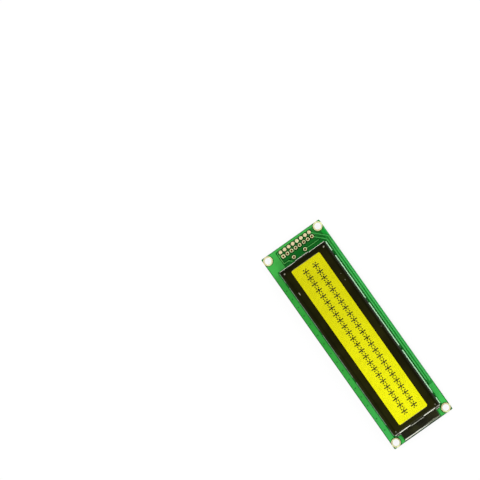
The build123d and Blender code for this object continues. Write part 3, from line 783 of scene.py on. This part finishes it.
def plated_profile(radius, hole, low, high, crown=0.02):
    """Half the section of a plated hole: a barrel with a flange on each face."""
    lip = 0.08
    return [
        (hole, low + lip),
        (hole + lip / 2, low),
        (radius - lip / 2, low),
        (radius, low + lip / 2),
        (radius, high - lip / 2),
        (radius - lip, high + crown / 2),
        ((radius + hole) / 2, high + crown),
        (hole + lip, high + crown / 2),
        (hole, high - lip),
    ]


def flat_ring_profile(inner, outer, low, high):
    """Half the section of a flat ring."""
    return [(inner, low), (outer, low), (outer, high), (inner, high)]


def box_in(mesh, low, high):
    """A closed box between two corners."""
    size = Vector(high) - Vector(low)
    middle = (Vector(high) + Vector(low)) / 2
    matrix = Matrix.Translation(middle) @ Matrix.Diagonal((*size, 1.0))
    bmesh.ops.create_cube(mesh, size=1.0, matrix=matrix)


# Plated holes: for each kind the node replaced, centres, outer and hole radius, and sides

plated_holes = {
    "header_rings": ("header_pads", header_spots, pad_radius, pad_hole, 48),
    "lamp_feed_rings": ("backlight_pads", feed_spots, feed_radius, pad_hole, 48),
    "mounting_rings": ("mounting_hole_rings", mount_spots, ring_radius, ring_hole, 72),
}


def squared(spot):
    """How far the outside of a hole's ring is squared off: only pin one's is."""
    return pin_one_square if spot == pin_one else 0.0


for name, (node, centres, radius, hole, sides) in plated_holes.items():
    rings = bmesh.new()
    for spot in centres:
        lathe(rings, spot, plated_profile(radius, hole, pads_low.z, pads_high.z), sides, squared(spot))
    piece(name, rings, finishes["tinned_copper"], [node], smooth=True)

# Dark rings of bare board round the plated holes, on both faces
sunk = 0.01
ring_rise = 0.02
ring_overlap = 0.02
isolation = bmesh.new()
for face_low, face_high in ((board_top - sunk, board_top + ring_rise), (-ring_rise, sunk)):
    for node, centres, radius, hole, sides in plated_holes.values():
        inner, outer = radius - ring_overlap, radius + isolation_width
        section = flat_ring_profile(inner, outer, face_low, face_high)
        for spot in centres:
            lathe(isolation, spot, section, sides, squared(spot))
rim = 0.03
for vertex in isolation.verts:
    vertex.co.x = max(board_low.x + rim, min(board_high.x - rim, vertex.co.x))
    vertex.co.y = max(board_low.y + rim, min(board_high.y - rim, vertex.co.y))
piece("isolation_rings", isolation, isolation_material, smooth=True)


def ribbon(mesh, path, width, low, high):
    """A closed flat strip along a path of (x, y) points, mitred at its corners."""
    points = [Vector(point) for point in path]
    rows = []
    for place_on, point in enumerate(points):
        before = (point - points[place_on - 1]).normalized() if place_on else None
        after = (points[place_on + 1] - point).normalized() if place_on + 1 < len(points) else None
        first, second = before or after, after or before
        along = (first + second).normalized()
        side = Vector((-along.y, along.x)) * (width / 2) / max(0.3, along.dot(first))
        if before is None:
            point = point - after * width / 4
        if after is None:
            point = point + before * width / 4
        rows.append(
            [
                mesh.verts.new((*(point + side), low)),
                mesh.verts.new((*(point - side), low)),
                mesh.verts.new((*(point - side), high)),
                mesh.verts.new((*(point + side), high)),
            ]
        )
    for here, there in zip(rows, rows[1:]):
        for corner_of in range(4):
            next_of = (corner_of + 1) % 4
            mesh.faces.new((here[corner_of], there[corner_of], there[next_of], here[next_of]))
    mesh.faces.new(rows[0][::-1])
    mesh.faces.new(rows[-1])


# Dark margins beside the rails' slanted run, the feed trace and the loop below the header
rail_inset = 1.0
rail_pitch = 1.35
straight_run = 3.0
rail_y = board_high.y - rail_inset
second_rail_y = rail_y - rail_pitch
pad_edge = (pad_radius + 0.1) / 2**0.5
outer_x, inner_x = header_x
rail_x = outer_x + rail_y - header_y[-1]
second_rail_x = inner_x + second_rail_y - header_y[-1]
loop_drop = 1.85
loop_y = header_y[0] - loop_drop
feed_top = feed_spots[1][1]
margin_paths = [
    [(outer_x + pad_edge, header_y[-1] + pad_edge), (rail_x, rail_y), (rail_x + straight_run, rail_y)],
    [
        (inner_x + pad_edge, header_y[-1] + pad_edge),
        (second_rail_x, second_rail_y),
        (second_rail_x + straight_run, second_rail_y),
    ],
    [(feed_x, feed_top + feed_radius), (feed_x, feed_top + 8.6)],
    [
        (outer_x + pad_edge, header_y[0] - pad_edge),
        (outer_x + loop_drop, loop_y),
        (feed_x, loop_y),
        (feed_x, loop_y + 4.0),
    ],
]
loop_lead = [(outer_x - 0.65, loop_y + 0.55), (outer_x - 0.1, loop_y), (outer_x + 1.9, loop_y)]
margin_width = 1.1
margin_rise = 0.012
lead_width = 0.45
lead_rise = 0.046
# strips that cross differ in height by this much, so that no two faces lie in one plane
step_apart = 0.001

margins = bmesh.new()
for path in margin_paths:
    ribbon(margins, path, margin_width, board_top - sunk, board_top + margin_rise)
ribbon(margins, loop_lead, margin_width, board_top - sunk, board_top + margin_rise - step_apart)
piece("trace_margins", margins, isolation_material)
lead = bmesh.new()
ribbon(lead, loop_lead, lead_width, board_top, board_top + lead_rise)
piece("loop_lead", lead, finishes["masked_copper"])


# Traces under the mask on the back: header to controller by way of the series resistors,
# the buses between the chips, and the fans out to the rows of vias behind the rubber strips

pads_edge = inner_x + pad_radius
back_paths = [
    [(pads_edge, header_y[7]), (-33.8, header_y[7]), (-30.2, 6.5)],
    [(pads_edge, header_y[6]), (-52.4, 8.15), (-34.4, 8.15), (-31.2, 4.95)],
    [(pads_edge, header_y[5]), (-51.8, 6.2), (-48.6, 6.2)],
    [(-46.4, 6.2), (-35.8, 6.2), (-31.6, 2.0)],
    [(pads_edge, header_y[4]), (-52.3, 1.75), (-49.7, 1.75), (-48.65, 2.8)],
    [(-46.35, 2.8), (-44.4, 2.8), (-43.6, 3.6), (-41.0, 3.6)],
    [(pads_edge, header_y[3]), (-43.8, header_y[3]), (-42.5, 1.2), (-41.0, 1.2)],
    [(pads_edge, header_y[2]), (-51.6, -1.2), (-41.0, -1.2)],
    [(pads_edge, header_y[1]), (-43.2, header_y[1]), (-41.65, -3.6), (-41.0, -3.6)],
    [(pads_edge, header_y[0]), (-43.4, header_y[0]), (-41.7, -6.0), (-41.0, -6.0)],
    [(-38.9, -6.0), (-35.6, -6.0), (-30.6, -1.0)],
    [(-38.9, -3.6), (-36.3, -3.6), (-33.9, -1.2), (-31.0, -1.2)],
    [(-38.9, -1.2), (-36.6, -1.2), (-35.6, -0.2), (-31.5, -0.2)],
    [(-38.9, 1.2), (-36.0, 1.2), (-35.6, 0.8), (-32.0, 0.8)],
    [(-38.9, 3.6), (-37.2, 3.6), (-35.4, 1.8), (-32.0, 1.8)],
    [(-11.5, -7.5), (-16.5, -7.5), (-20.5, -3.5)],
    [(-9.5, -7.5), (-2.0, -7.5), (2.6, -2.9)],
    [(-11.5, 7.5), (-15.5, 7.5), (-19.5, 3.5)],
    [(-9.5, 7.5), (-0.5, 7.5), (4.5, 2.5)],
    [(21.5, 6.0), (16.5, 6.0), (12.0, 1.5)],
    [(23.5, 6.0), (29.0, 6.0), (32.0, 3.0)],
    [(21.5, -6.0), (16.0, -6.0), (13.0, -3.0)],
    [(23.5, -6.0), (28.5, -6.0), (34.0, -0.5)],
]
bus_pitch = 0.9
bus_lines = 7
for line in range(bus_lines):
    y = -3.0 + bus_pitch * line
    back_paths.append([(-20.0, y + 1.2), (-12.6, y + 1.2), (-11.4, y), (3.6, y)])
    y = -2.6 + bus_pitch * line
    back_paths.append([(12.0, y - 0.6), (17.4, y - 0.6), (18.6, y + 0.6), (32.8, y + 0.6)])
fan_lines = 9
fan_reach = 10.3
fan_ends = []
for x, y, diameter in domes.values():
    for line in range(fan_lines):
        fan_x = x + bus_pitch * (line - (fan_lines - 1) / 2)
        end_y = fan_reach + 0.9 * (line % 2)
        for side in (-1, 1):
            back_paths.append([(fan_x, y + side * diameter * 0.33), (fan_x, side * end_y)])
            fan_ends.append((fan_x, side * end_y))

trace_rise = 0.03
tie_rise = 0.026
trace_width = 0.32
lamp_rail_width = 1.5
tie_width = 0.7
lamp_rail_y = 16.6
lamp_rail_end = 52.6
back_traces = bmesh.new()
for path in back_paths:
    ribbon(back_traces, path, trace_width, -trace_rise, sunk)
for side in (-1, 1):
    rail = [(-lamp_rail_end, side * lamp_rail_y), (lamp_rail_end, side * lamp_rail_y)]
    ribbon(back_traces, rail, lamp_rail_width, -trace_rise, sunk)
    to_pin = [(51.6, side * 15.8), (pin_x, side * 12.2), (pin_x, side * (pin_y + 0.5))]
    ribbon(back_traces, to_pin, tie_width, -tie_rise, sunk - step_apart)
for end_y in (11.6, loop_y):
    to_feed = [(feed_x, math.copysign(16.0, end_y)), (feed_x, end_y)]
    ribbon(back_traces, to_feed, tie_width, -tie_rise, sunk - step_apart)
    fan_ends.append((feed_x, end_y))
piece("back_traces", back_traces, finishes["masked_copper"])


# Characters

lit_rows = [row for row, marks in enumerate(glyph) if "#" in marks]
middle_row = (len(glyph) - 1) / 2
middle_column = (len(glyph[0]) - 1) / 2
lit_middle = (middle_row - (lit_rows[0] + lit_rows[-1]) / 2) * dot_pitch_y
lit_height = (lit_rows[-1] - lit_rows[0]) * dot_pitch_y + dot_height
lit_length = 2 * middle_column * dot_pitch_x + dot_length
middle_x = (dots_low.x + dots_high.x) / 2
middle_y = (dots_low.y + dots_high.y) / 2 - lit_middle
character_pitch = (dots_high.x - dots_low.x - lit_length) / (character_count - 1)
line_pitch = (dots_high.y - dots_low.y - lit_height) / (line_count - 1)
half_dot = Vector((dot_length / 2, dot_height / 2, 0))
dots = bmesh.new()
for line in range(line_count):
    for place_in_line in range(character_count):
        cell_x = middle_x + character_pitch * (place_in_line - (character_count - 1) / 2)
        cell_y = middle_y + line_pitch * (line - (line_count - 1) / 2)
        for row, marks in enumerate(glyph):
            for column, mark in enumerate(marks):
                if mark == "#":
                    x = cell_x + dot_pitch_x * (column - middle_column)
                    y = cell_y + dot_pitch_y * (middle_row - row)
                    low = Vector((x, y, dots_low.z)) - half_dot
                    high = Vector((x, y, dots_high.z)) + half_dot
                    box_in(dots, low, high)
piece("character_dots", dots, finishes["switched_crystal"], ["lcd_dots"])


# Epoxy over the chips: a poured dome with an uneven rim


def dome_profile(radius, height):
    """Half the section of a dome below the board: steeper at the rim than a ball's."""
    steps = 14
    least = 0.001
    section = [(least, 0.0)]
    for step in range(steps + 1):
        angle = math.pi / 2 * (1 - step / steps)
        out = max(radius * math.sin(angle) ** 0.8, least)
        section.append((out, -height * math.cos(angle) ** 0.75))
    return section


for number_of, (name, (x, y, diameter)) in enumerate(domes.items()):
    dome = bmesh.new()
    low, high = corners(name)
    section = dome_profile(diameter / 2, high.z - low.z)
    lathe(dome, (x, y), section, sides=72, wobble=0.05, seed=number_of)
    piece(name.replace("_cob", "_epoxy"), dome, finishes["black_epoxy"], [name], smooth=True)


# Tape over the tail of the lamp housing, with soft wrinkles

tape_width = tape_high.y - tape_low.y
skirt = tape_high.z - tape_low.z
corner = 0.25
skirt_steps = 8
corner_steps = 5
top_steps = 60
along_steps = 26

# across the tape: up one side, round its corner, over the top and down the other side
side_path = []
for step in range(skirt_steps + 1):
    side_path.append((tape_low.y, tape_low.z + (skirt - corner) * step / skirt_steps))
for step in range(1, corner_steps + 1):
    angle = math.pi - math.pi / 2 * step / corner_steps
    y = tape_low.y + corner + corner * math.cos(angle)
    side_path.append((y, tape_high.z - corner + corner * math.sin(angle)))
across_path = list(side_path)
for step in range(1, top_steps):
    y = tape_low.y + corner + (tape_width - 2 * corner) * step / top_steps
    across_path.append((y, tape_high.z))
across_path += [(-y, z) for y, z in reversed(side_path)]


def slipped(y):
    """How far the tape's end has slipped outward: 0 on the near side, 1 on the far side."""
    return max(0.0, min(1.0, (y + 6.0) / 11.5))


def tape_end(y, z):
    """Where the tape ends along X: a wavy line, within the end of the tail."""
    wavy = 0.12 * noise.noise(Vector((3.1, y * 0.55, z * 0.5)))
    return min(tape_high.x + 0.28 + 0.5 * slipped(y) ** 1.6 + wavy, tail_reach - 0.05)


def wrinkle(x, y):
    """How deep the tape sinks between its wrinkles."""
    slow = noise.noise(Vector((x * 0.5, y * 0.28, 4.0)))
    quick = noise.noise(Vector((x * 1.4, y * 0.9, 9.0)))
    return 0.09 * max(0.0, slow + 0.5 * quick + 0.25)


tape = bmesh.new()
grid = []
for step in range(along_steps + 1):
    share = step / along_steps
    row = []
    for y, z in across_path:
        x = tape_low.x + (tape_end(y, z) - tape_low.x) * share
        sink = wrinkle(x, y)
        lift = 0.0
        if share >= 0.9:
            lift = 0.05 * slipped(y) * (0.6 + noise.noise(Vector((7.7, y * 0.8, 2.0))))
        if z > tape_high.z - 0.01:
            row.append(tape.verts.new((x, y, z - sink * 0.9 + lift)))
        else:
            row.append(tape.verts.new((x, y + math.copysign(sink * 0.8, -y), z)))
    grid.append(row)
for here, there in zip(grid, grid[1:]):
    for place_on in range(len(across_path) - 1):
        tape.faces.new((here[place_on], there[place_on], there[place_on + 1], here[place_on + 1]))
tape_piece = piece("tail_tape_cover", tape, finishes["black_tape"], ["tail_tape"], smooth=True)
thickness = tape_piece.modifiers.new("thickness", "SOLIDIFY")
thickness.thickness = 0.06 * MM
thickness.offset = -1


# Solder round the pins of the lamp housing

solder = bmesh.new()
cone_height = solder_high.z - solder_low.z
cone_hole = 0.2
cone_tip = 0.33
cone_steps = 8
section = [(cone_hole, 0.0)]
for step in range(cone_steps + 1):
    share = step / cone_steps
    section.append((solder_radius - (solder_radius - cone_tip) * share**0.5, -cone_height * share))
section.append((cone_hole, -cone_height))
for y in (-pin_y, pin_y):
    lathe(solder, (pin_x, y), section, wobble=0.06, seed=y)
piece("lamp_pin_solder", solder, finishes["solder"], ["backlight_solder"], smooth=True)


# Small tented vias: in the copper along the front edge, and at the fans' ends on the back


def via_profile(face, radius, shoulder, rim, top, hollow):
    """Half the section of a tented via; rim, top and hollow are heights from the face."""
    inner, crest = 0.12, 0.2
    return [
        (inner, face),
        (radius, face),
        (radius, face + rim),
        (shoulder, face + top),
        (crest, face + top),
        (inner, face + hollow),
    ]


via_x = [-38.5, -33.4, -28.4, -23.0, -17.8, -11.0, -5.6, 0.4, 5.8, 11.0, 16.4, 22.0, 27.4, 32.8, 40.8, 48.0]
via_y = -16.5
front_vias = bmesh.new()
for x in via_x:
    lathe(front_vias, (x, via_y), via_profile(board_top, 0.34, 0.28, 0.065, 0.09, 0.055), sides=24)
back_vias = bmesh.new()
for spot in fan_ends:
    lathe(back_vias, spot, via_profile(0.0, 0.4, 0.32, -0.05, -0.08, -0.05), sides=16)
piece("back_vias", back_vias, finishes["masked_copper"], smooth=True)
piece("front_vias", front_vias, finishes["board"], smooth=True)


# Floor, light and camera


def floor_finish():
    """A white sheet. What the camera, gloss and glass see of it is raised to plain white, with
    the shadow kept. Under the board it stays in shade, and only from straight above does it
    show white through the mounting holes, painted light with a painted pink reflection of the
    plated barrels through the outer holes, and painted shade, dark red-brown, through the inner ones."""
    finish = Finish("white_ground", Roughness=0.9)
    tree = finish.tree
    x, y = place(tree)[:2]
    past_end = number(tree, "SUBTRACT", number(tree, "ABSOLUTE", x), board_high.x)
    past_side = number(tree, "SUBTRACT", number(tree, "ABSOLUTE", y), board_high.y)
    clear = ramp(tree, number(tree, "MAXIMUM", past_end, past_side), -0.3, 0.4)
    slant = finish.add("LayerWeight", {"Blend": 0.5}).outputs["Facing"]
    from_above = ramp(tree, slant, 0.1, 0.3, 1.0, 0.0)
    under_mounts = round_spots(tree, mount_spots, 2.2, 0.1)
    # painted light and painted reflection: pale pink spots seen through the outer holes
    pink_reflection_spots = round_spots(tree, outer_holes, 0.85, 0.1)
    bright = both(tree, either(tree, under_mounts, pink_reflection_spots), from_above)
    # painted shade: dark red-brown spots seen through the inner holes, where the floor lies in the board's
    # shadow
    dark = both(tree, round_spots(tree, inner_holes, 0.85, 0.1), from_above)
    finish.link(mix_colour(tree, dark, (0.86, 0.86, 0.86, 1.0), from_srgb(70, 12, 0)), "Base Color")
    rays = finish.add("LightPath").outputs
    seen = either(tree, rays["Is Glossy Ray"], rays["Is Transmission Ray"], rays["Is Camera Ray"])
    lift = number(tree, "MULTIPLY", both(tree, seen, either(tree, clear, bright, dark)), 0.9)
    seen_white = layered(
        tree, (1.0, 1.0, 1.0, 1.0), (pink_reflection_spots, from_srgb(252, 212, 186)), (dark, from_srgb(104, 22, 2))
    )
    white = finish.add("Emission", {"Color": seen_white, "Strength": 1.0})
    mixed = finish.add("MixShader", {"Fac": lift})
    finish.link(finish.shader.outputs[0], mixed.inputs[1])
    finish.link(white.outputs[0], mixed.inputs[2])
    finish.link(mixed.outputs[0], finish.output.inputs["Surface"])
    return finish.material


ground_reach = 6000.0
ground = bmesh.new()
bmesh.ops.create_grid(ground, x_segments=8, y_segments=8, size=ground_reach * MM)
bmesh.ops.translate(ground, verts=ground.verts, vec=(0, 0, floor_z * MM))
ground_data = bpy.data.meshes.new("ground")
ground.to_mesh(ground_data)
ground.free()
floor = bpy.data.objects.new("ground", ground_data)
bpy.context.collection.objects.link(floor)
floor.data.materials.append(floor_finish())

# A pale room: the sky is plain white to the camera and softer to light the object, with a
# dark ceiling straight above, as over a copy stand, so that flat faces keep their colour
sky_strength = 0.75
ceiling_strength = sky_strength * 0.05
world = bpy.data.worlds.new("studio")
bpy.context.scene.world = world
world.use_nodes = True
sky = world.node_tree
backdrop = sky.nodes["Background"]
backdrop.inputs["Color"].default_value = (1.0, 1.0, 1.0, 1.0)
direction = add_node(sky, "TexCoord").outputs["Generated"]
overhead = add_node(sky, "SeparateXYZ", {"Vector": direction}).outputs["Z"]
lighting = ramp(sky, overhead, 0.70, 0.92, sky_strength, ceiling_strength)
rays = add_node(sky, "LightPath").outputs
sky_level = either(sky, rays["Is Camera Ray"], rays["Is Transmission Ray"], lighting)
sky.links.new(sky_level, backdrop.inputs["Strength"])

# Soft boxes: azimuth from +X, elevation, distance and size in metres, power in watts
soft_boxes = {
    "key_box": (100, 48, 1.8, 1.1, 20.0),
    "fill_box": (-15, 45, 1.8, 1.1, 17.0),
    "rim_box": (225, 45, 1.8, 1.1, 11.0),
}
for name, (azimuth, elevation, distance, size, power) in soft_boxes.items():
    lamp = bpy.data.lights.new(name, "AREA")
    lamp.energy = power
    lamp.size = size
    turn, lift = math.radians(azimuth), math.radians(elevation)
    away = Vector((math.cos(turn) * math.cos(lift), math.sin(turn) * math.cos(lift), math.sin(lift)))
    made = bpy.data.objects.new(name, lamp)
    bpy.context.collection.objects.link(made)
    made.location = away * distance
    made.rotation_mode = "QUATERNION"
    made.rotation_quaternion = away.to_track_quat("Z", "Y")

# The photograph's camera: almost straight above, far off, turned so that the module
# leans across the lower right of the picture
camera_distance = 2500.0
camera_lean = Vector((0.0171, 0.0256, 1.0)).normalized()
aim = Vector((-73.59, -20.92, board_top))
picture_up = math.radians(144.77)
camera_data = bpy.data.cameras.new("photo_camera")
camera_data.lens = 368.25
camera_data.sensor_width = 36.0
camera_data.clip_start = 0.1
camera_data.clip_end = 50.0
camera = bpy.data.objects.new("photo_camera", camera_data)
bpy.context.collection.objects.link(camera)
eye = Vector((0, 0, board_top)) + camera_lean * camera_distance
forward = (aim - eye).normalized()
right = forward.cross(Vector((math.cos(picture_up), math.sin(picture_up), 0))).normalized()
up = right.cross(forward)
turned = Matrix((right, up, -forward)).transposed()
camera.matrix_world = Matrix.Translation(eye * MM) @ turned.to_4x4()
bpy.context.scene.camera = camera

bpy.context.scene.view_settings.view_transform = "Standard"

bpy.context.view_layer.update()
